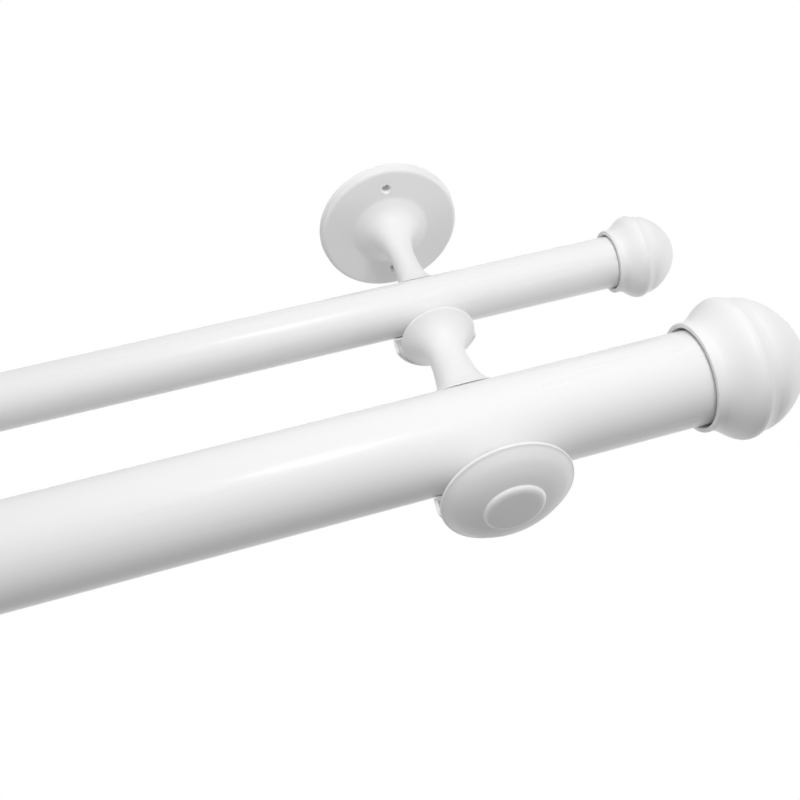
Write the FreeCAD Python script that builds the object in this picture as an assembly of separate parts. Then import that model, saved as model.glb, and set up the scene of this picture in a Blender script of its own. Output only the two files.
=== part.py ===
import FreeCAD, Part
import math
import os

from FreeCAD import Placement, Rotation, Vector

# Double curtain pole in white enamelled metal: a thick front pole and a thin rear pole,
# carried by a pair of wall brackets, with a turned finial on each pole end.
# Millimetres. X runs along the poles, the room is towards -Y, Z is up. The origin lies on
# the wall, midway between the brackets, at the height of the pole axes.

# Poles
POLE_LENGTH = 1200.0
FRONT_POLE_R = 14.0
FRONT_POLE_WALL = 1.2
REAR_POLE_R = 8.5
REAR_POLE_WALL = 1.0

# Places of the pole axes in front of the wall, and of the brackets along the poles
REAR_REACH = 46.0
FRONT_REACH = 103.0
POLE_OVERHANG = 70.0
BRACKET_X = POLE_LENGTH / 2 - POLE_OVERHANG

# Clearances
CRADLE_GAP = 0.3
THREAD_GAP = 0.1
PLUG_GAP = 0.15

# Wall rose and stem, turned about the bracket's axis
ROSE_R = 24.4
ROSE_THICKNESS = 3.9
ROSE_FOOT_HEIGHT = 0.9
ROSE_FOOT_STEP = 0.35
ROSE_ROUND = 1.0
SCREW_HOLE_R = 1.75
SCREW_HOLE_REACH = 17.0
SCREW_HOLE_MOUTH = 0.5
STEM_FOOT_R = 13.2

# Turned profiles of the slender stem and of the rear cup. The stem's points are (share of the
# way from the rose's face to the back of the cup, radius), the cup's points are (distance in
# front of the pole axis, radius). The first point of the cup is its back.
STEM_PROFILE = ((0.06, 9.6), (0.16, 7.0), (0.31, 5.3), (0.52, 4.3), (0.69, 4.15), (0.86, 4.4))
REAR_CUP_PROFILE = ((-13.0, 5.6), (-9.0, 8.2), (-5.0, 10.7), (0.0, 12.2), (7.0, 12.9))

# Cradle cups: mouth radius, wall in front of the pole, height of the lip behind the pole
# and of the wall before it. The lip's flat top falls towards the wall at the lip slope, the
# front wall's top falls towards the mouth at the front slope, and a conical hub stands
# round the stud, widest at the mouth. The lip is chamfered on its pole side.
REAR_CUP_R = 13.4
REAR_CUP_WALL = 5.4
REAR_CUP_LIP = 6.2
REAR_LIP_SLOPE = 0.14
REAR_CUP_FRONT = -4.4
REAR_HUB_R = 9.0
FRONT_CUP_R = 19.4
FRONT_CUP_WALL = 4.5
FRONT_CUP_LIP = 9.6
FRONT_LIP_SLOPE = 0.24
FRONT_CUP_FRONT = -6.0
FRONT_HUB_R = 12.0
CUP_EDGE = 0.6
FRONT_SLOPE = 0.4
HUB_SLOPE = 0.78
LIP_CHAMFER = 0.5

# Extension arm, which screws to the rear cup and carries the front cup
ARM_SEAT_HEIGHT = 1.2
ARM_LIP_R = 11.8
ARM_LIP_THICKNESS = 1.2

# Turned profiles of the neck, from the face of the lip to the back of the cup, and of the
# front cup, written like those of the wall bracket
NECK_PROFILE = ((0.05, 9.6), (0.14, 7.6), (0.26, 6.15), (0.42, 5.7), (0.64, 6.1), (0.84, 6.85))
FRONT_CUP_PROFILE = ((-16.0, 8.3), (-13.0, 10.8), (-10.0, 13.6), (-6.0, 15.7), (0.0, 17.5), (9.0, 18.8))

# Front cap: its slot is the gap between the cup's mouth and the cap's rim, and its dome rises
# from the rim to the button with its middle at the bulge's share of the height
CAP_R = 18.5
CAP_SLOT = 2.4
CAP_RIM_THICKNESS = 1.2
CAP_DOME_HEIGHT = 4.5
CAP_DOME_BULGE = 0.7
CAP_WALL = 1.8
CAP_HUB_R = 5.0
BUTTON_R = 9.0
BUTTON_HEIGHT = 1.2
BUTTON_CROWN = 0.6

# Fasteners
JOINING_STUD_R = 3.0
JOINING_STUD_LENGTH = 12.0
JOINING_STUD_IN_CUP = 4.2
CAP_STUD_R = 2.5
CAP_STUD_LENGTH = 7.6
CAP_STUD_IN_CUP = 3.6
STUD_CHAMFER = 0.4
GRUB_R = 2.0
GRUB_LENGTH = 3.4
GRUB_HEX = 2.0
GRUB_HEX_DEPTH = 1.4
GRUB_SEAT_GAP = 0.1

# Finials. Distances along the pole are measured from the open rim of the collar. The rear
# finial repeats the front one's profile at the smaller size, with a slightly longer collar.
COLLAR_R = 16.3
COLLAR_LENGTH = 3.0
COLLAR_WALL = 1.0
FINIAL_LENGTH = 34.0
FINIAL_PROFILE = ((5.0, 17.2), (7.0, 18.6), (9.0, 20.1), (11.0, 21.1), (12.8, 21.2), (14.6, 20.55),
                  (16.3, 20.1), (18.2, 19.8), (21.0, 18.8), (25.0, 16.3), (29.0, 12.5),
                  (32.0, 8.1), (33.5, 4.3))
FRONT_SIZE = 1.0
REAR_SIZE = 0.64
REAR_COLLAR_EXTRA = 0.4
TUBE_ENTRY = 6.5

# Plugs that hold the finials in the pole ends
FRONT_PLUG_REACH = 18.0
FRONT_PLUG_STEM_R = 5.0
FRONT_PLUG_STEM = 14.0
REAR_PLUG_REACH = 14.0
REAR_PLUG_STEM_R = 3.0
REAR_PLUG_STEM = 8.0
PLUG_FLANGE = 1.4
PLUG_RIBS = 6
PLUG_RIB_WIDTH = 2.0
PLUG_RIB_HEIGHT = 1.0

# Overshoot of the cutting tools
PAST = 1.0

X_AXIS = Vector(1, 0, 0)
Y_AXIS = Vector(0, 1, 0)
Z_AXIS = Vector(0, 0, 1)


def at(axial, radius):
    return Vector(axial, radius, 0)


def line(a, b):
    return Part.LineSegment(at(*a), at(*b)).toShape()


def arc(a, middle, b):
    return Part.Arc(at(*a), at(*middle), at(*b)).toShape()


def round_corner(a, corner, b):
    """Quarter round from a to b, where a and b lie square to the corner."""
    centre_x = a[0] + b[0] - corner[0]
    centre_r = a[1] + b[1] - corner[1]
    middle_x = centre_x + (corner[0] - centre_x) * math.sqrt(0.5)
    middle_r = centre_r + (corner[1] - centre_r) * math.sqrt(0.5)
    return arc(a, (middle_x, middle_r), b)


def curve(*poles):
    bezier = Part.BezierCurve()
    bezier.setPoles([at(*pole) for pole in poles])
    return bezier.toShape()


def spline(points, end_direction=None):
    """Smooth curve through points, leaving the last one in the end direction if given."""
    bspline = Part.BSplineCurve()
    places = [at(*point) for point in points]
    bspline.interpolate(places)
    if end_direction:
        start_direction = bspline.tangent(bspline.FirstParameter)[0]
        bspline.interpolate(Points=places, InitialTangent=start_direction, FinalTangent=at(*end_direction))
    return bspline.toShape()


def path(*points):
    return [line(a, b) for a, b in zip(points, points[1:])]


def turned(edges):
    """Solid turned about the X axis from a closed half outline."""
    face = Part.Face(Part.Wire(edges))
    return face.revolve(Vector(0, 0, 0), X_AXIS, 360)


def off_wall(shape):
    """Turns a solid made along X so that its axis leaves the wall, towards -Y."""
    shape = shape.copy()
    shape.Placement = Placement(Vector(0, 0, 0), Rotation(Z_AXIS, -90))
    return shape


def cylinder(radius, length, start, direction):
    return Part.makeCylinder(radius, length, start, direction)


def box(x, y, z):
    """Box between the given pairs of limits."""
    return Part.makeBox(x[1] - x[0], y[1] - y[0], z[1] - z[0], Vector(x[0], y[0], z[0]))


# Wall bracket: rose, stem and rear cup in one casting

def rear_mouth():
    return REAR_REACH + REAR_POLE_R + CRADLE_GAP + REAR_CUP_WALL


def front_mouth():
    return FRONT_REACH + FRONT_POLE_R + CRADLE_GAP + FRONT_CUP_WALL


def casting_profile(face, shares, reach, cup):
    """Points of a turned casting between the face its slender part leaves and the cup's mouth."""
    cup_points = [(reach + ahead, radius) for ahead, radius in cup]
    cup_back = cup_points[0][0]
    return [(face + share * (cup_back - face), radius) for share, radius in shares] + cup_points


def bracket_blank():
    foot_r = ROSE_R - ROSE_FOOT_STEP
    face = ROSE_THICKNESS
    mouth = rear_mouth()
    shoulder = (mouth - CUP_EDGE, REAR_CUP_R)
    edges = path((0, 0), (0, ROSE_R), (ROSE_FOOT_HEIGHT, ROSE_R), (ROSE_FOOT_HEIGHT, foot_r),
                 (face - ROSE_ROUND, foot_r))
    edges.append(round_corner((face - ROSE_ROUND, foot_r), (face, foot_r), (face, foot_r - ROSE_ROUND)))
    edges.append(line((face, foot_r - ROSE_ROUND), (face, STEM_FOOT_R)))
    stem = casting_profile(face, STEM_PROFILE, REAR_REACH, REAR_CUP_PROFILE)
    edges.append(spline([(face, STEM_FOOT_R)] + stem + [shoulder]))
    edges.append(round_corner(shoulder, (mouth, REAR_CUP_R), (mouth, REAR_CUP_R - CUP_EDGE)))
    edges += path((mouth, REAR_CUP_R - CUP_EDGE), (mouth, 0), (0, 0))
    return off_wall(turned(edges))


def prism(half_width, *corners):
    """Bar along X whose section has the given corners as (y, z)."""
    outline = [Vector(-half_width, y, z) for y, z in corners + corners[:1]]
    return Part.Face(Part.makePolygon(outline)).extrude(Vector(2 * half_width, 0, 0))


def cradle_cut(reach, pole_r, lip, lip_slope, front, cup_r, hub_r, mouth):
    """Seat for a pole. The throat is open at the top, between the lip and the front wall."""
    seat_r = pole_r + CRADLE_GAP
    width = cup_r + PAST
    seat = cylinder(seat_r, 2 * width, Vector(-width, -reach, 0), X_AXIS)
    lip_y = -reach + math.sqrt(seat_r ** 2 - lip ** 2)
    top = lip + cup_r
    low = lip - LIP_CHAMFER
    behind = prism(width, (-reach, low), (lip_y - LIP_CHAMFER, low), (lip_y, lip),
                   (lip_y + cup_r, lip - cup_r * lip_slope), (lip_y + cup_r, top), (-reach, top))
    front_y = -reach - math.sqrt(seat_r ** 2 - front ** 2)
    fall = (front_y + mouth + PAST) * FRONT_SLOPE
    before = prism(width, (-reach, front), (front_y, front), (-mouth - PAST, front - fall),
                   (-mouth - PAST, top), (-reach, top))
    hub = Part.makeCone(hub_r, 0, hub_r / HUB_SLOPE, Vector(0, -mouth, 0), Y_AXIS)
    return [seat, behind, before.cut(hub)]


def grub_hole(reach, pole_r, cup_r):
    return cylinder(GRUB_R + THREAD_GAP, cup_r, Vector(0, -reach, -pole_r), -Z_AXIS)


def screw_hole(z):
    hole_start = Vector(0, PAST, z)
    hole = cylinder(SCREW_HOLE_R, ROSE_THICKNESS + 2 * PAST, hole_start, -Y_AXIS)
    mouth_r = SCREW_HOLE_R + SCREW_HOLE_MOUTH
    sink_start = Vector(0, -ROSE_THICKNESS + SCREW_HOLE_MOUTH, z)
    sink = Part.makeCone(SCREW_HOLE_R, mouth_r, SCREW_HOLE_MOUTH, sink_start, -Y_AXIS)
    return hole.fuse(sink)


def wall_bracket():
    cuts = cradle_cut(REAR_REACH, REAR_POLE_R, REAR_CUP_LIP, REAR_LIP_SLOPE, REAR_CUP_FRONT, REAR_CUP_R,
                      REAR_HUB_R, rear_mouth())
    cuts.append(grub_hole(REAR_REACH, REAR_POLE_R, REAR_CUP_R))
    cuts += [screw_hole(z) for z in (SCREW_HOLE_REACH, -SCREW_HOLE_REACH)]
    bore_start = Vector(0, -REAR_REACH, 0)
    cuts.append(cylinder(JOINING_STUD_R + THREAD_GAP, REAR_REACH, bore_start, -Y_AXIS))
    return bracket_blank().cut(cuts)


# Extension arm: lip, neck and front cup in one casting

def arm_blank():
    back = rear_mouth()
    lip = back + ARM_SEAT_HEIGHT
    face = lip + ARM_LIP_THICKNESS
    edge = ARM_LIP_THICKNESS / 2
    mouth = front_mouth()
    shoulder = (mouth - CUP_EDGE, FRONT_CUP_R)
    edges = path((back, 0), (back, REAR_HUB_R), (lip, REAR_HUB_R), (lip, ARM_LIP_R - edge))
    edges.append(arc((lip, ARM_LIP_R - edge), (lip + edge, ARM_LIP_R), (face, ARM_LIP_R - edge)))
    neck = casting_profile(face, NECK_PROFILE, FRONT_REACH, FRONT_CUP_PROFILE)
    edges.append(spline([(face, ARM_LIP_R - edge)] + neck + [shoulder]))
    edges.append(round_corner(shoulder, (mouth, FRONT_CUP_R), (mouth, FRONT_CUP_R - CUP_EDGE)))
    edges += path((mouth, FRONT_CUP_R - CUP_EDGE), (mouth, 0), (back, 0))
    return off_wall(turned(edges))


def extension_arm():
    cuts = cradle_cut(FRONT_REACH, FRONT_POLE_R, FRONT_CUP_LIP, FRONT_LIP_SLOPE, FRONT_CUP_FRONT,
                      FRONT_CUP_R, FRONT_HUB_R, front_mouth())
    cuts.append(grub_hole(FRONT_REACH, FRONT_POLE_R, FRONT_CUP_R))
    stud_end = JOINING_STUD_LENGTH - JOINING_STUD_IN_CUP + PAST
    cuts.append(cylinder(JOINING_STUD_R + THREAD_GAP, stud_end + PAST,
                         Vector(0, -rear_mouth() + PAST, 0), -Y_AXIS))
    cuts.append(cylinder(CAP_STUD_R + THREAD_GAP, FRONT_REACH, Vector(0, -FRONT_REACH, 0), -Y_AXIS))
    return arm_blank().cut(cuts)


# Front cap: domed cover with a raised button

def front_cap():
    back = front_mouth()
    rim = back + CAP_SLOT
    face = rim + CAP_RIM_THICKNESS
    edge = CAP_RIM_THICKNESS / 2
    dome = face + CAP_DOME_HEIGHT
    button = dome + BUTTON_HEIGHT
    edges = path((back, FRONT_HUB_R - CAP_WALL), (back, FRONT_HUB_R), (rim, FRONT_HUB_R),
                 (rim, CAP_R - edge))
    edges.append(arc((rim, CAP_R - edge), (rim + edge, CAP_R), (face, CAP_R - edge)))
    edges.append(arc((face, CAP_R - edge), (face + CAP_DOME_HEIGHT * CAP_DOME_BULGE,
                                            (CAP_R - edge + BUTTON_R) / 2), (dome, BUTTON_R)))
    edges.append(line((dome, BUTTON_R), (button - BUTTON_CROWN, BUTTON_R)))
    edges.append(round_corner((button - BUTTON_CROWN, BUTTON_R), (button, BUTTON_R),
                              (button, BUTTON_R - BUTTON_CROWN)))
    edges.append(curve((button, BUTTON_R - BUTTON_CROWN), (button + BUTTON_CROWN, BUTTON_R / 2),
                       (button + BUTTON_CROWN, 0)))
    stud_end = back + CAP_STUD_LENGTH - CAP_STUD_IN_CUP + PAST / 2
    bore_r = CAP_STUD_R + THREAD_GAP
    inner = dome - CAP_WALL
    edges += path((button + BUTTON_CROWN, 0), (stud_end, 0), (stud_end, bore_r), (back, bore_r),
                  (back, CAP_HUB_R), (inner, CAP_HUB_R), (inner, BUTTON_R))
    edges += path((inner, BUTTON_R), (rim, FRONT_HUB_R - CAP_WALL), (back, FRONT_HUB_R - CAP_WALL))
    return off_wall(turned(edges))


# Fasteners

def stud(radius, length, start):
    """Threaded stud along the bracket's axis, from start towards the room."""
    c = STUD_CHAMFER
    edges = path((0, 0), (0, radius - c), (c, radius), (length - c, radius), (length, radius - c),
                 (length, 0), (0, 0))
    shape = off_wall(turned(edges))
    shape.translate(Vector(0, -start, 0))
    return shape


def grub_screw(reach, pole_r):
    c = STUD_CHAMFER
    length = GRUB_LENGTH
    edges = path((0, 0), (0, GRUB_R - c), (c, GRUB_R), (length - c, GRUB_R), (length, GRUB_R - c),
                 (length, 0), (0, 0))
    shape = turned(edges)
    corner_r = GRUB_HEX / math.sqrt(3)
    angles = [math.radians(60 * i) for i in range(7)]
    corners = [Vector(length, corner_r * math.cos(a), corner_r * math.sin(a)) for a in angles]
    socket = Part.Face(Part.makePolygon(corners)).extrude(Vector(-GRUB_HEX_DEPTH, 0, 0))
    shape = shape.cut(socket)
    turn = Rotation(Y_AXIS, 90)
    shape.Placement = Placement(Vector(0, -reach, -pole_r - GRUB_SEAT_GAP), turn)
    return shape


# Poles

def pole(radius, wall, reach):
    start = Vector(-POLE_LENGTH / 2, -reach, 0)
    outer = cylinder(radius, POLE_LENGTH, start, X_AXIS)
    bore_start = start - Vector(PAST, 0, 0)
    return outer.cut(cylinder(radius - wall, POLE_LENGTH + 2 * PAST, bore_start, X_AXIS))


# Finials and their plugs, made along +X with the collar's rim at the start

def finial(size, collar_extra, plug_stem):
    """Turned finial. size scales the profile, plug_stem is the radius and length it takes."""
    stem_r, stem_length = plug_stem
    collar_r = size * COLLAR_R
    collar_end = size * COLLAR_LENGTH + collar_extra
    length = size * FINIAL_LENGTH + collar_extra
    inner_r = collar_bore_r(size)
    lip = COLLAR_WALL / 2
    flange_end = TUBE_ENTRY + PLUG_FLANGE
    profile = [(collar_extra + size * x, size * r) for x, r in FINIAL_PROFILE]
    edges = [arc((lip, inner_r), (0, inner_r + lip), (lip, collar_r))]
    edges.append(line((lip, collar_r), (collar_end, collar_r)))
    edges.append(spline([(collar_end, collar_r)] + profile + [(length, 0)], (0, -1)))
    socket_end = flange_end + stem_length + PLUG_GAP
    socket_r = stem_r + THREAD_GAP
    edges += path((length, 0), (socket_end, 0), (socket_end, socket_r), (flange_end, socket_r),
                  (flange_end, inner_r), (lip, inner_r))
    return turned(edges)


def plug(pole_inner_r, flange_r, reach, plug_stem):
    """Ribbed plug: its sleeve fills the tube, its flange stops on the tube's end."""
    stem_r, stem_length = plug_stem
    core_r = pole_inner_r - PLUG_GAP - PLUG_RIB_HEIGHT
    tip = TUBE_ENTRY - reach
    flange_end = TUBE_ENTRY + PLUG_FLANGE
    edges = path((tip, 0), (tip, core_r - STUD_CHAMFER), (tip + STUD_CHAMFER, core_r),
                 (TUBE_ENTRY, core_r), (TUBE_ENTRY, flange_r), (flange_end, flange_r),
                 (flange_end, stem_r), (flange_end + stem_length, stem_r),
                 (flange_end + stem_length, 0), (tip, 0))
    shape = turned(edges)
    rib_start = core_r - PLUG_RIB_HEIGHT
    rib = box((tip + PAST, TUBE_ENTRY), (-PLUG_RIB_WIDTH / 2, PLUG_RIB_WIDTH / 2),
              (rib_start, core_r + PLUG_RIB_HEIGHT))
    bound = cylinder(pole_inner_r - PLUG_GAP, reach, Vector(tip, 0, 0), X_AXIS)
    rib = rib.common(bound)
    ribs = []
    for i in range(PLUG_RIBS):
        turned_rib = rib.copy()
        turned_rib.rotate(Vector(0, 0, 0), X_AXIS, 360.0 * i / PLUG_RIBS)
        ribs.append(turned_rib)
    return shape.fuse(ribs).removeSplitter()


FRONT_STEM = (FRONT_PLUG_STEM_R, FRONT_PLUG_STEM)
REAR_STEM = (REAR_PLUG_STEM_R, REAR_PLUG_STEM)


def collar_bore_r(size):
    return size * COLLAR_R - COLLAR_WALL


def front_plug():
    flange_r = collar_bore_r(FRONT_SIZE) - PLUG_GAP
    return plug(FRONT_POLE_R - FRONT_POLE_WALL, flange_r, FRONT_PLUG_REACH, FRONT_STEM)


def rear_plug():
    flange_r = collar_bore_r(REAR_SIZE) - PLUG_GAP
    return plug(REAR_POLE_R - REAR_POLE_WALL, flange_r, REAR_PLUG_REACH, REAR_STEM)


# Placing

def moved(shape, x, y=0.0):
    shape = shape.copy()
    shape.translate(Vector(x, y, 0))
    return shape


def at_pole_end(shape, side, reach):
    """Sets a finial or plug on the left (-1) or right (1) end of a pole."""
    shape = shape.copy()
    if side < 0:
        shape.rotate(Vector(0, 0, 0), Z_AXIS, 180)
    shape.translate(Vector(side * (POLE_LENGTH / 2 - TUBE_ENTRY), -reach, 0))
    return shape


def pair(shape):
    return [moved(shape, -BRACKET_X), moved(shape, BRACKET_X)]


def build():
    parts = {
        "front_pole": pole(FRONT_POLE_R, FRONT_POLE_WALL, FRONT_REACH),
        "rear_pole": pole(REAR_POLE_R, REAR_POLE_WALL, REAR_REACH),
    }
    on_bracket = {"wall_bracket": wall_bracket(), "extension_arm": extension_arm(), "front_cap": front_cap()}
    on_end = {
        "front_finial": (finial(FRONT_SIZE, 0.0, FRONT_STEM), FRONT_REACH),
        "front_plug": (front_plug(), FRONT_REACH),
        "rear_finial": (finial(REAR_SIZE, REAR_COLLAR_EXTRA, REAR_STEM), REAR_REACH),
        "rear_plug": (rear_plug(), REAR_REACH),
    }
    for side, name in ((-1, "left"), (1, "right")):
        for node, shape in on_bracket.items():
            parts[f"{node}_{name}"] = moved(shape, side * BRACKET_X)
        for node, (shape, reach) in on_end.items():
            parts[f"{node}_{name}"] = at_pole_end(shape, side, reach)
    joining = stud(JOINING_STUD_R, JOINING_STUD_LENGTH, rear_mouth() - JOINING_STUD_IN_CUP)
    capping = stud(CAP_STUD_R, CAP_STUD_LENGTH, front_mouth() - CAP_STUD_IN_CUP)
    grubs = pair(grub_screw(REAR_REACH, REAR_POLE_R)) + pair(grub_screw(FRONT_REACH, FRONT_POLE_R))
    parts["joining_studs"] = Part.makeCompound(pair(joining))
    parts["cap_studs"] = Part.makeCompound(pair(capping))
    parts["grub_screws"] = Part.makeCompound(grubs)
    return parts


def main():
    os.makedirs("parts", exist_ok=True)
    for name, shape in build().items():
        shape.exportStep(os.path.join("parts", name + ".step"))
        size = shape.BoundBox
        print(f"{name}: {len(shape.Solids)} solid, {size.XLength:.1f} x {size.YLength:.1f} x "
              f"{size.ZLength:.1f} mm, {shape.Volume / 1000:.2f} cm3, valid {shape.isValid()}")


main()
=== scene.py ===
import math

import bmesh
import bpy
from mathutils import Matrix, Vector
from mathutils.geometry import interpolate_bezier


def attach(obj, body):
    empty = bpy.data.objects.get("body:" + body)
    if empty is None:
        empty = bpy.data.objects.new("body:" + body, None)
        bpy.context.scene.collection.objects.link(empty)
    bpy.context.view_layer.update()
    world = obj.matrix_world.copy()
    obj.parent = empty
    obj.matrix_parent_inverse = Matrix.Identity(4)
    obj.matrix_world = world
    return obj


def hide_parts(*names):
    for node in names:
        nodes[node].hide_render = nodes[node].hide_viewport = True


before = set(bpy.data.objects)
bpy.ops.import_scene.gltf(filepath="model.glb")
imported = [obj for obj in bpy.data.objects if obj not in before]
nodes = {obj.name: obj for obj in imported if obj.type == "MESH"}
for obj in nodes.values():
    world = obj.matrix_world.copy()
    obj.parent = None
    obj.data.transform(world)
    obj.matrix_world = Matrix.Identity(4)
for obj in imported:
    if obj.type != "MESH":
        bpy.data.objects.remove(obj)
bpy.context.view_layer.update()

# White enamelled double curtain pole. The frame is in metres: X along the poles, the room
# towards -Y, Z up, the wall at Y = 0. Sizes below are in millimetres.
MM = 0.001

POLE_LENGTH = 1200.0
BRACKET_X = 530.0
FRONT_POLE = {"reach": 103.0, "r": 14.0, "wall": 1.2}
REAR_POLE = {"reach": 46.0, "r": 8.5, "wall": 1.0}
POLE_EDGE = 0.3
SEAT_GAP = 0.3
SKIN_GAP = 0.1
TUBE_ENTRY = 6.5
REAR_MOUTH = 60.2
FRONT_MOUTH = 121.8
WELD = 0.002
SHARP_ANGLE = math.radians(38)


# Turned shapes. A profile is a list of spans along an axis; each point is (distance along
# the axis, radius).

def smooth_span(points, steps=6):
    """Points along the smooth curve through the given ones."""
    ends = [points[0]] + list(points) + [points[-1]]
    places = [Vector((a, r, 0.0)) for a, r in ends]
    span = []
    for before, start, stop, after in zip(places, places[1:], places[2:], places[3:]):
        near = start + (stop - before) / 6
        far = stop - (after - start) / 6
        span += interpolate_bezier(start, near, far, stop, steps)[:-1]
    span.append(places[-1])
    return [(p.x, p.y) for p in span]


def revolve(name, profile, origin, axis, steps=128):
    """Spins the profile about an axis through origin."""
    axis, origin, side = Vector(axis), Vector(origin), Vector((0, 0, 1))
    bm = bmesh.new()
    verts = [bm.verts.new((origin + axis * a + side * r) * MM) for a, r in profile]
    for first, second in zip(verts, verts[1:]):
        bm.edges.new((first, second))
    return spin_round(name, bm, origin, axis, steps)


def spin_round(name, bm, origin, axis, steps):
    """Full turn of the outline in bm, with its seam and poles closed."""
    bmesh.ops.spin(bm, geom=bm.verts[:] + bm.edges[:], cent=origin * MM, axis=axis,
                   angle=math.tau, steps=steps, use_merge=True)
    bmesh.ops.remove_doubles(bm, verts=bm.verts, dist=WELD * MM)
    bmesh.ops.recalc_face_normals(bm, faces=bm.faces)
    return piece_from(name, bm)


def piece_from(name, bm):
    """Object at the origin with the bmesh as its mesh, smooth but for its sharp edges."""
    mesh = bpy.data.meshes.new(name)
    bm.to_mesh(mesh)
    bm.free()
    mesh.shade_smooth()
    mesh.set_sharp_from_angle(angle=SHARP_ANGLE)
    piece = bpy.data.objects.new(name, mesh)
    bpy.context.scene.collection.objects.link(piece)
    return piece


def stand_for(piece, node, material):
    """Puts a finished piece in the place of its node."""
    piece.data.materials.clear()
    piece.data.materials.append(material)
    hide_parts(node)
    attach(piece, "root")


# Finishes

class Finish:
    """A Principled material and the node tree that shapes it."""

    def __init__(self, name, colour, roughness, metallic=0.0, coat=0.0):
        self.material = bpy.data.materials.new(name)
        self.material.use_nodes = True
        self.tree = self.material.node_tree
        self.shader = self.tree.nodes["Principled BSDF"]
        self.shader.inputs["Base Color"].default_value = (*colour, 1)
        self.shader.inputs["Roughness"].default_value = roughness
        self.shader.inputs["Metallic"].default_value = metallic
        self.shader.inputs["Coat Weight"].default_value = coat
        self.shader.inputs["Coat Roughness"].default_value = 0.06
        self.shader.inputs["Specular IOR Level"].default_value = 0.25
        self.place = self.tree.nodes.new("ShaderNodeTexCoord")

    def stretched(self, scale):
        mapping = self.tree.nodes.new("ShaderNodeMapping")
        mapping.inputs["Scale"].default_value = scale
        self.tree.links.new(self.place.outputs["Object"], mapping.inputs["Vector"])
        return mapping.outputs["Vector"]

    def noise(self, scale, stretch=(1, 1, 1), detail=3.0, rough=0.5):
        noise = self.tree.nodes.new("ShaderNodeTexNoise")
        noise.inputs["Scale"].default_value = scale
        noise.inputs["Detail"].default_value = detail
        noise.inputs["Roughness"].default_value = rough
        self.tree.links.new(self.stretched(stretch), noise.inputs["Vector"])
        return noise.outputs["Fac"]

    def ramp(self, value, low, high, start=0.35, stop=0.65):
        ramp = self.tree.nodes.new("ShaderNodeMapRange")
        ramp.inputs["From Min"].default_value = start
        ramp.inputs["From Max"].default_value = stop
        ramp.inputs["To Min"].default_value = low
        ramp.inputs["To Max"].default_value = high
        self.tree.links.new(value, ramp.inputs["Value"])
        return ramp.outputs["Result"]

    def tint(self, value, low, high):
        blend = self.tree.nodes.new("ShaderNodeMix")
        blend.data_type = "RGBA"
        blend.inputs["A"].default_value = (*low, 1)
        blend.inputs["B"].default_value = (*high, 1)
        self.tree.links.new(value, blend.inputs["Factor"])
        self.tree.links.new(blend.outputs["Result"], self.shader.inputs["Base Color"])

    def roughen(self, value, low, high):
        self.tree.links.new(self.ramp(value, low, high), self.shader.inputs["Roughness"])

    def bumps(self, *layers):
        """Each layer is (value, depth in millimetres)."""
        normal = None
        for value, depth in layers:
            bump = self.tree.nodes.new("ShaderNodeBump")
            bump.inputs["Strength"].default_value = 1.0
            bump.inputs["Distance"].default_value = depth * MM
            self.tree.links.new(value, bump.inputs["Height"])
            if normal:
                self.tree.links.new(normal, bump.inputs["Normal"])
            normal = bump.outputs["Normal"]
        self.tree.links.new(normal, self.shader.inputs["Normal"])
        return self.material


def pole_enamel():
    finish = Finish("pole_enamel", (0.86, 0.86, 0.86), 0.38, coat=0.15)
    peel = finish.noise(420, detail=2.0)
    drawn = finish.noise(60, stretch=(0.06, 1, 1), detail=4.0)
    cloud = finish.noise(9, detail=2.0)
    finish.tint(cloud, (0.84, 0.84, 0.845), (0.875, 0.875, 0.87))
    finish.roughen(drawn, 0.22, 0.34)
    return finish.bumps((drawn, 0.02), (peel, 0.008))


def casting_enamel():
    finish = Finish("casting_enamel", (0.86, 0.86, 0.86), 0.4, coat=0.15)
    peel = finish.noise(320, detail=2.0)
    skin = finish.noise(55, detail=4.0, rough=0.6)
    cloud = finish.noise(14, detail=2.0)
    finish.tint(cloud, (0.835, 0.835, 0.84), (0.87, 0.87, 0.865))
    finish.roughen(skin, 0.34, 0.48)
    return finish.bumps((skin, 0.03), (peel, 0.01))


def finial_enamel():
    finish = Finish("finial_enamel", (0.86, 0.86, 0.86), 0.38, coat=0.15)
    peel = finish.noise(380, detail=2.0)
    turned = finish.noise(240, stretch=(1, 0.05, 0.05), detail=3.0)
    cloud = finish.noise(16, detail=2.0)
    finish.tint(cloud, (0.84, 0.84, 0.845), (0.875, 0.875, 0.87))
    finish.roughen(turned, 0.32, 0.44)
    return finish.bumps((turned, 0.006), (peel, 0.008))


def plug_plastic():
    finish = Finish("plug_plastic", (0.62, 0.62, 0.6), 0.55)
    grain = finish.noise(900, detail=3.0)
    cloud = finish.noise(40, detail=2.0)
    finish.tint(cloud, (0.59, 0.59, 0.57), (0.65, 0.65, 0.63))
    finish.roughen(grain, 0.48, 0.62)
    return finish.bumps((grain, 0.02))


def zinc_steel():
    finish = Finish("zinc_steel", (0.6, 0.61, 0.63), 0.35, metallic=1.0)
    spangle = finish.noise(700, detail=4.0, rough=0.7)
    cloud = finish.noise(120, detail=2.0)
    finish.tint(cloud, (0.52, 0.53, 0.56), (0.68, 0.68, 0.67))
    finish.roughen(spangle, 0.25, 0.5)
    return finish.bumps((spangle, 0.015))


# Poles

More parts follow.
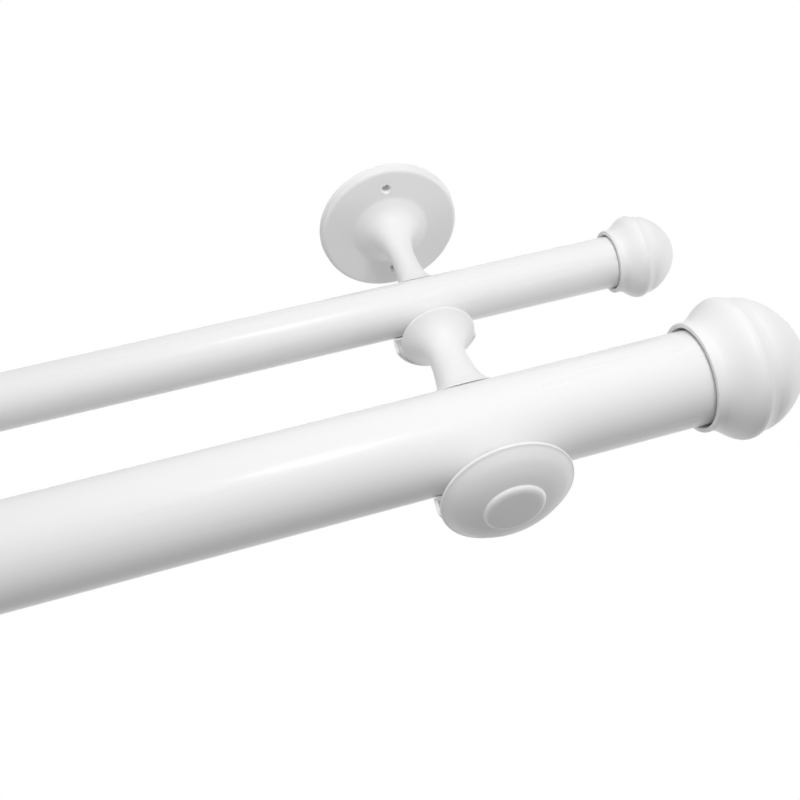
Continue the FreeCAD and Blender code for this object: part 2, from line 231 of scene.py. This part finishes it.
def make_pole(name, pole):
    """Tube with slightly rounded ends."""
    half, outer, inner = POLE_LENGTH / 2, pole["r"], pole["r"] - pole["wall"]
    section = [(-half, inner), (-half, outer), (half, outer), (half, inner)]
    axis, centre = Vector((1, 0, 0)), Vector((0, -pole["reach"], 0))
    bm = bmesh.new()
    verts = [bm.verts.new((centre + axis * a + Vector((0, 0, r))) * MM) for a, r in section]
    for index, vert in enumerate(verts):
        bm.edges.new((vert, verts[(index + 1) % len(verts)]))
    bmesh.ops.bevel(bm, geom=verts, offset=POLE_EDGE * MM, segments=3, profile=0.5,
                    affect="VERTICES", material=-1)
    return spin_round(name, bm, centre, axis, 160)


# Finials

COLLAR_R = 16.3
COLLAR_LENGTH = 3.0
COLLAR_WALL = 1.5
COLLAR_FLOOR = 1.4
STEM_GAP = 0.1
FINIAL_LENGTH = 34.0
FINIAL_PROFILE = ((5.0, 17.2), (7.0, 18.6), (9.0, 20.1), (11.0, 21.1), (12.8, 21.2), (14.6, 20.55),
                  (16.3, 20.1), (18.2, 19.8), (21.0, 18.8), (25.0, 16.3), (29.0, 12.5),
                  (32.0, 8.1), (33.5, 4.3))


def make_finial(name, side, reach, size, extra, stem_r, stem_length):
    """Ball with a ring round it and a collar over the pole's end, bored for its stem."""
    collar_r = size * COLLAR_R
    inner_r = collar_r - COLLAR_WALL
    length = size * FINIAL_LENGTH + extra
    floor = TUBE_ENTRY + COLLAR_FLOOR
    socket_r, socket_end = stem_r + STEM_GAP, floor + stem_length + 0.15
    outline = [(0.5, collar_r), (size * COLLAR_LENGTH + extra, collar_r)]
    outline += [(extra + size * a, size * r) for a, r in FINIAL_PROFILE]
    outline += [(length - 0.02, size * 1.1), (length, 0)]
    rim = [(0.5, inner_r), (0.15, inner_r + 0.15), (0.0, inner_r + 0.5), (0.15, collar_r - 0.15)]
    socket = [(socket_end, 0), (socket_end, socket_r), (floor, socket_r), (floor, inner_r)]
    profile = socket + rim + smooth_span(outline)
    start = (side * (POLE_LENGTH / 2 - TUBE_ENTRY), -reach, 0)
    return revolve(name, profile, start, (side, 0, 0))


# Castings of the brackets

ROSE_R = 24.4
ROSE_THICKNESS = 3.9
SCREW_OFFSET = 17.0
DISC_R = 11.8
DISC_GAP = 1.2
DISC_THICKNESS = 1.2
CASTING_STEPS = 160
VOXEL = 0.3
SOFT_ROUNDS = 14
STUD_HOLE_R = 3.1
CAP_STUD_HOLE_R = 2.6
GRUB_HOLE_R = 2.1
STEM_PROFILE = ((0.06, 9.6), (0.16, 7.0), (0.31, 5.3), (0.52, 4.3), (0.69, 4.15), (0.86, 4.4))
NECK_PROFILE = ((0.05, 9.6), (0.14, 7.6), (0.26, 6.15), (0.42, 5.7), (0.64, 6.1), (0.84, 6.85))
REAR_CUP = {
    "pole": REAR_POLE, "r": 14.0, "lip": 6.2, "lip_slope": 0.14, "front": -4.4, "hub": 9.0,
    "mouth": REAR_MOUTH, "groove": (9.2, 13.0, 5.8), "softness": 4.0,
    "profile": ((-13.0, 4.9), (-10.5, 5.7), (-8.0, 7.2), (-5.0, 9.8), (0.0, 12.2), (7.0, 13.4)),
}
FRONT_CUP = {
    "pole": FRONT_POLE, "r": 19.4, "lip": 9.6, "lip_slope": 0.24, "front": -6.0, "hub": 12.0,
    "mouth": FRONT_MOUTH, "groove": (12.2, 18.4, 5.0), "softness": 6.0,
    "profile": ((-16.0, 8.2), (-13.0, 10.4), (-10.0, 13.2), (-6.0, 15.7), (0.0, 17.5), (9.0, 18.8)),
}
LIP_CURVE = 0.04
HUB_SLOPE = 0.78


def rod(name, radius, start, stop, far_radius=None):
    """Closed cylinder or cone between two points, as a cutting tool."""
    start, stop = Vector(start), Vector(stop)
    bm = bmesh.new()
    along = stop - start
    turn = along.to_track_quat("Z", "Y").to_matrix().to_4x4()
    bmesh.ops.create_cone(bm, cap_ends=True, segments=128, radius1=radius * MM,
                          radius2=(radius if far_radius is None else far_radius) * MM,
                          depth=along.length * MM,
                          matrix=Matrix.Translation((start + stop) / 2 * MM) @ turn)
    return piece_from(name, bm)


def bar(name, x, half_width, corners):
    """Closed bar along X with the given section of (y, z) corners, as a cutting tool."""
    bm = bmesh.new()
    face = bm.faces.new([bm.verts.new(Vector((x - half_width, y, z)) * MM) for y, z in corners])
    grown = bmesh.ops.extrude_face_region(bm, geom=[face])
    moved = [item for item in grown["geom"] if isinstance(item, bmesh.types.BMVert)]
    bmesh.ops.translate(bm, verts=moved, vec=Vector((2 * half_width * MM, 0, 0)))
    bmesh.ops.recalc_face_normals(bm, faces=bm.faces)
    return piece_from(name, bm)


def casting_profile(face, start_r, shares, cup):
    """Side of a casting from the face that its slender part leaves, past its cup, to the mouth."""
    reach = cup["pole"]["reach"]
    cup_points = [(reach + ahead, radius) for ahead, radius in cup["profile"]]
    back = cup_points[0][0]
    slender = [(face + share * (back - face), radius) for share, radius in shares]
    side = smooth_span([(face, start_r)] + slender + cup_points + [(cup["mouth"] - 0.6, cup["r"])])
    mouth, r = cup["mouth"], cup["r"]
    return side + [(mouth - 0.18, r - 0.18), (mouth, r - 0.6), (mouth, 0)]


def lower_lip(casting, cup):
    """Presses the cup's top down to the lip behind its pole, with a soft shoulder all round."""
    reach, lip, softness = cup["pole"]["reach"], cup["lip"], cup["softness"]
    lip_ahead = -math.sqrt((cup["pole"]["r"] + SEAT_GAP) ** 2 - lip ** 2)
    for vert in casting.data.vertices:
        ahead, height = -vert.co.y / MM - reach, vert.co.z / MM
        behind = lip_ahead - ahead
        top = lip - behind * cup["lip_slope"] + max(behind, 0.0) ** 2 * LIP_CURVE
        blend = max(softness - abs(height - top), 0.0) / softness
        if height > 0 and ahead < 3.0:
            vert.co.z = (min(height, top) - blend ** 2 * softness / 4) * MM


def open_cup(casting, x, cup):
    """Opens the cup in front of its pole, but leaves the hub round the stud."""
    reach, front, mouth = cup["pole"]["reach"], cup["front"], cup["mouth"]
    seat_r = cup["pole"]["r"] + SEAT_GAP
    width, top = cup["r"] + 1, cup["lip"] + cup["r"]
    lower_lip(casting, cup)
    front_y = -reach - math.sqrt(seat_r ** 2 - front ** 2)
    before = bar("front_tool", x, width, [(-reach, front), (front_y, front), (-mouth - 1, front - 0.3),
                                          (-mouth - 1, top), (-reach, top)])
    hub_length = cup["hub"] / HUB_SLOPE
    hub = rod("hub_tool", cup["hub"], (x, -mouth, 0), (x, -mouth + hub_length, 0), far_radius=0.0)
    carve(before, [hub])
    carve(casting, [before, seat_tool(x, cup, SEAT_GAP)])
    soften(casting)


def carve(piece, tools):
    """Cuts the tools out of a piece and removes them."""
    for tool in tools:
        cut = piece.modifiers.new(tool.name, "BOOLEAN")
        cut.operation = "DIFFERENCE"
        cut.solver = "EXACT"
        cut.object = tool
    settle(piece)
    for tool in tools:
        bpy.data.objects.remove(tool)


def soften(casting):
    """Gives a casting the soft edges of poured metal."""
    remesh = casting.modifiers.new("cast_skin", "REMESH")
    remesh.mode = "VOXEL"
    remesh.voxel_size = VOXEL * MM
    smooth = casting.modifiers.new("cast_softness", "SMOOTH")
    smooth.factor = 0.5
    smooth.iterations = SOFT_ROUNDS
    settle(casting)


def settle(piece):
    """Replaces a piece's mesh by the outcome of its modifiers."""
    bpy.context.view_layer.update()
    shape = bpy.data.meshes.new_from_object(piece.evaluated_get(bpy.context.evaluated_depsgraph_get()))
    piece.modifiers.clear()
    old = piece.data
    piece.data = shape
    bpy.data.meshes.remove(old)


def seat_tool(x, cup, gap=SKIN_GAP):
    """Cylinder that cuts the pole's seat with the given gap."""
    reach, width = cup["pole"]["reach"], cup["r"] + 2
    return rod("seat_tool", cup["pole"]["r"] + gap, (x - width, -reach, 0), (x + width, -reach, 0))


def groove_tool(x, cup):
    """Ring that hollows the cup's mouth between its hub and its rim."""
    inner, outer, depth = cup["groove"]
    floor, ahead = cup["mouth"] - depth, cup["mouth"] + 1
    ring = [(floor, inner), (floor, outer), (ahead, outer), (ahead, inner), (floor, inner)]
    return revolve("groove_tool", ring, (x, 0, 0), (0, -1, 0))


def make_wall_bracket(name, side):
    """Rose, stem and rear cup, with screw holes in the rose."""
    x = side * BRACKET_X
    face, mouth, reach = ROSE_THICKNESS, REAR_MOUTH, REAR_POLE["reach"]
    rose = [(0, 0), (0, ROSE_R), (0.9, ROSE_R), (0.9, ROSE_R - 0.35), (face - 1.0, ROSE_R - 0.35),
            (face - 0.3, ROSE_R - 0.65), (face, ROSE_R - 1.35)]
    profile = rose + casting_profile(face, 13.2, STEM_PROFILE, REAR_CUP)
    casting = revolve(name, profile, (x, 0, 0), (0, -1, 0), steps=CASTING_STEPS)
    open_cup(casting, x, REAR_CUP)
    tools = [seat_tool(x, REAR_CUP), groove_tool(x, REAR_CUP)]
    for z in (SCREW_OFFSET, -SCREW_OFFSET):
        tools.append(rod("screw_tool", 1.15, (x, 1, z), (x, -face - 1, z)))
        tools.append(rod("mouth_tool", 1.1, (x, -face + 1.0, z), (x, -face - 0.1, z), far_radius=1.85))
    tools.append(rod("stud_tool", STUD_HOLE_R, (x, -reach, 0), (x, -mouth - 1, 0)))
    tools.append(rod("grub_tool", GRUB_HOLE_R, (x, -reach, -6.0), (x, -reach, -16.0)))
    carve(casting, tools)
    casting.data.set_sharp_from_angle(angle=SHARP_ANGLE)
    return casting


def make_extension_arm(name, side):
    """Disc against the rear cup, neck and front cup."""
    x = side * BRACKET_X
    back, mouth, reach = REAR_MOUTH, FRONT_MOUTH, FRONT_POLE["reach"]
    disc, face = back + DISC_GAP, back + DISC_GAP + DISC_THICKNESS
    profile = [(back, 0), (back, REAR_CUP["hub"]), (disc, REAR_CUP["hub"]), (disc, DISC_R - 0.6),
               (disc + 0.18, DISC_R - 0.18), (disc + 0.6, DISC_R), (disc + 1.02, DISC_R - 0.18)]
    profile += casting_profile(face, DISC_R - 0.6, NECK_PROFILE, FRONT_CUP)
    casting = revolve(name, profile, (x, 0, 0), (0, -1, 0), steps=CASTING_STEPS)
    open_cup(casting, x, FRONT_CUP)
    tools = [seat_tool(x, FRONT_CUP), groove_tool(x, FRONT_CUP)]
    tools.append(rod("stud_tool", STUD_HOLE_R, (x, -back + 1, 0), (x, -back - 8.8, 0)))
    tools.append(rod("cap_stud_tool", CAP_STUD_HOLE_R, (x, -reach, 0), (x, -mouth - 1, 0)))
    tools.append(rod("grub_tool", GRUB_HOLE_R, (x, -reach, -12.0), (x, -reach, -22.0)))
    carve(casting, tools)
    casting.data.set_sharp_from_angle(angle=SHARP_ANGLE)
    return casting


# Front cap

CAP_R = 18.5
CAP_GAP = 1.2
CAP_RIM = 1.2
BUTTON_R = 8.4


def make_front_cap(name, side):
    """Domed cap with a button on it and a rim that stands clear of the front cup."""
    back = FRONT_MOUTH
    slot = back + CAP_GAP
    rim = slot + CAP_GAP
    face = rim + CAP_RIM
    dome = face + 4.5
    button = dome + 1.2
    inner = dome - 1.8
    edge = [(rim, CAP_R - 0.6), (rim + 0.18, CAP_R - 0.18), (rim + 0.6, CAP_R), (rim + 1.02, CAP_R - 0.18)]
    bulge = smooth_span([(face, CAP_R - 0.6), (face + 1.95, 15.5), (face + 3.15, 13.2),
                         (face + 3.98, 11.0), (dome, BUTTON_R + 0.5)])
    boss = smooth_span([(dome, BUTTON_R + 0.5), (dome + 0.12, BUTTON_R + 0.12),
                        (dome + 0.5, BUTTON_R - 0.15), (dome + 0.9, BUTTON_R - 0.6),
                        (button, BUTTON_R - 1.5), (button + 0.12, 5.5), (button + 0.2, 3.0),
                        (button + 0.22, 0.0)])
    core = [(back + 4.5, 0), (back + 4.5, CAP_STUD_HOLE_R), (back, CAP_STUD_HOLE_R), (back, 5.0),
            (inner, 5.0), (inner, BUTTON_R), (slot, 10.2), (back, 10.2), (back, 12.0), (rim, 12.0)]
    profile = core + edge + bulge + boss[1:]
    return revolve(name, profile, (side * BRACKET_X, 0, 0), (0, -1, 0))


# Room

WORLD_LEVEL = 0.46
FLOOR_Z = -0.45
FLOOR_SIZE = 6.0


def sight_rays(tree):
    """Value that is 1 for rays from the camera, off a gloss or through glass, and 0 otherwise."""
    rays = tree.nodes.new("ShaderNodeLightPath")
    seen = rays.outputs["Is Camera Ray"]
    for kind in ("Is Glossy Ray", "Is Transmission Ray"):
        either = tree.nodes.new("ShaderNodeMath")
        either.operation = "MAXIMUM"
        tree.links.new(seen, either.inputs[0])
        tree.links.new(rays.outputs[kind], either.inputs[1])
        seen = either.outputs[0]
    return seen


def make_floor():
    """Pale floor below the object, which the camera and reflections see as white paper."""
    bm = bmesh.new()
    bmesh.ops.create_grid(bm, x_segments=1, y_segments=1, size=FLOOR_SIZE)
    bmesh.ops.translate(bm, verts=bm.verts, vec=(0, 0, FLOOR_Z))
    floor = piece_from("floor", bm)
    paper = bpy.data.materials.new("floor_paper")
    paper.use_nodes = True
    tree = paper.node_tree
    shader = tree.nodes["Principled BSDF"]
    shader.inputs["Base Color"].default_value = (0.2, 0.2, 0.2, 1)
    shader.inputs["Roughness"].default_value = 0.9
    white = tree.nodes.new("ShaderNodeEmission")
    white.inputs["Color"].default_value = (1, 1, 1, 1)
    blend = tree.nodes.new("ShaderNodeMixShader")
    tree.links.new(sight_rays(tree), blend.inputs["Fac"])
    tree.links.new(shader.outputs[0], blend.inputs[1])
    tree.links.new(white.outputs[0], blend.inputs[2])
    tree.links.new(blend.outputs[0], tree.nodes["Material Output"].inputs["Surface"])
    floor.data.materials.append(paper)


def make_world():
    """Even light from all round, behind a background that looks white."""
    world = bpy.data.worlds.new("studio")
    bpy.context.scene.world = world
    world.use_nodes = True
    tree = world.node_tree
    background = tree.nodes["Background"]
    background.inputs["Color"].default_value = (1, 1, 1, 1)
    level = tree.nodes.new("ShaderNodeMapRange")
    level.inputs["To Min"].default_value = WORLD_LEVEL
    level.inputs["To Max"].default_value = 1.0
    tree.links.new(sight_rays(tree), level.inputs["Value"])
    tree.links.new(level.outputs["Result"], background.inputs["Strength"])


def make_lamp(name, place, target, size, watts, mirrored=False):
    """Area lamp outside the picture. One that isn't mirrored leaves no highlight in the enamel."""
    light = bpy.data.lights.new(name, "AREA")
    light.shape = "RECTANGLE"
    light.size, light.size_y = size
    light.energy = watts
    lamp = bpy.data.objects.new(name, light)
    bpy.context.scene.collection.objects.link(lamp)
    lamp.location = place
    lamp.visible_camera = False
    lamp.visible_glossy = mirrored
    lamp.rotation_euler = (Vector(target) - Vector(place)).to_track_quat("-Z", "Y").to_euler()


def make_lamps():
    """Four lamps round each bracket and one long one below the poles."""
    for side, end in ((-1, "left"), (1, "right")):
        x = side * BRACKET_X * MM
        aim = (x, -0.08, 0.0)
        make_lamp("over_bracket_" + end, (x + side * 0.03, -0.12, 0.35), aim, (0.12, 0.12), 0.5)
        make_lamp("over_cap_" + end, (x + side * 0.13, -0.3, 0.6), aim, (0.2, 0.2), 0.47)
        make_lamp("beside_" + end, (x + side * 0.42, -0.12, -0.2), aim, (0.25, 0.25), 0.82)
        make_lamp("glint_" + end, (x + side * 0.19, -0.22, 1.0), aim, (0.2, 0.2), 0.95, mirrored=True)
    make_lamp("bounce_below", (0.0, -0.09, -0.28), (0.0, -0.08, 0.0), (1.9, 0.2), 1.2)


# The camera as solved from the photograph: its turn in radians, its place in metres from the
# right bracket's foot, and its focal length and shift as shares of the picture's width.
CAMERA_TURN = (0.253913, 0.772683, -0.058256)
CAMERA_PLACE = (-0.052867, -0.266088, 0.195606)
FOCAL_SHARE = 937.18 / 800
SHIFT_SHARE = -0.05
SENSOR_WIDTH = 36.0


def make_camera():
    """The photograph's viewing angle, close to the right bracket."""
    yaw, pitch, roll = CAMERA_TURN
    look = Vector((math.sin(yaw) * math.cos(pitch), math.cos(yaw) * math.cos(pitch), -math.sin(pitch)))
    level = Vector((math.cos(yaw), -math.sin(yaw), 0))
    upright = level.cross(look)
    right = level * math.cos(roll) + upright * math.sin(roll)
    up = upright * math.cos(roll) - level * math.sin(roll)
    data = bpy.data.cameras.new("camera")
    data.sensor_width = SENSOR_WIDTH
    data.lens = FOCAL_SHARE * SENSOR_WIDTH
    data.shift_x = data.shift_y = SHIFT_SHARE
    data.clip_start, data.clip_end = 0.01, 50.0
    camera = bpy.data.objects.new("camera", data)
    bpy.context.scene.collection.objects.link(camera)
    place = Vector((BRACKET_X * MM, 0, 0)) + Vector(CAMERA_PLACE)
    camera.matrix_world = Matrix.Translation(place) @ Matrix((right, up, -look)).transposed().to_4x4()
    bpy.context.scene.camera = camera


def main():
    tube, cast, ball = pole_enamel(), casting_enamel(), finial_enamel()
    plastic, steel = plug_plastic(), zinc_steel()
    stand_for(make_pole("pole_front_tube", FRONT_POLE), "front_pole", tube)
    stand_for(make_pole("pole_rear_tube", REAR_POLE), "rear_pole", tube)
    for side, end in ((-1, "left"), (1, "right")):
        bracket = make_wall_bracket("bracket_casting_" + end, side)
        stand_for(bracket, "wall_bracket_" + end, cast)
        stand_for(make_extension_arm("arm_casting_" + end, side), "extension_arm_" + end, cast)
        stand_for(make_front_cap("cap_shell_" + end, side), "front_cap_" + end, cast)
        front = make_finial("ball_front_" + end, side, FRONT_POLE["reach"], 1.0, 0.0, 5.0, 14.0)
        stand_for(front, "front_finial_" + end, ball)
        rear = make_finial("ball_rear_" + end, side, REAR_POLE["reach"], 0.64, 0.4, 3.0, 8.0)
        stand_for(rear, "rear_finial_" + end, ball)
        for node in ("front_plug_", "rear_plug_"):
            nodes[node + end].data.materials.clear()
            nodes[node + end].data.materials.append(plastic)
    for node in ("joining_studs", "cap_studs", "grub_screws"):
        nodes[node].data.materials.clear()
        nodes[node].data.materials.append(steel)
    make_floor()
    make_world()
    make_lamps()
    make_camera()
    bpy.context.scene.view_settings.view_transform = "Standard"


main()
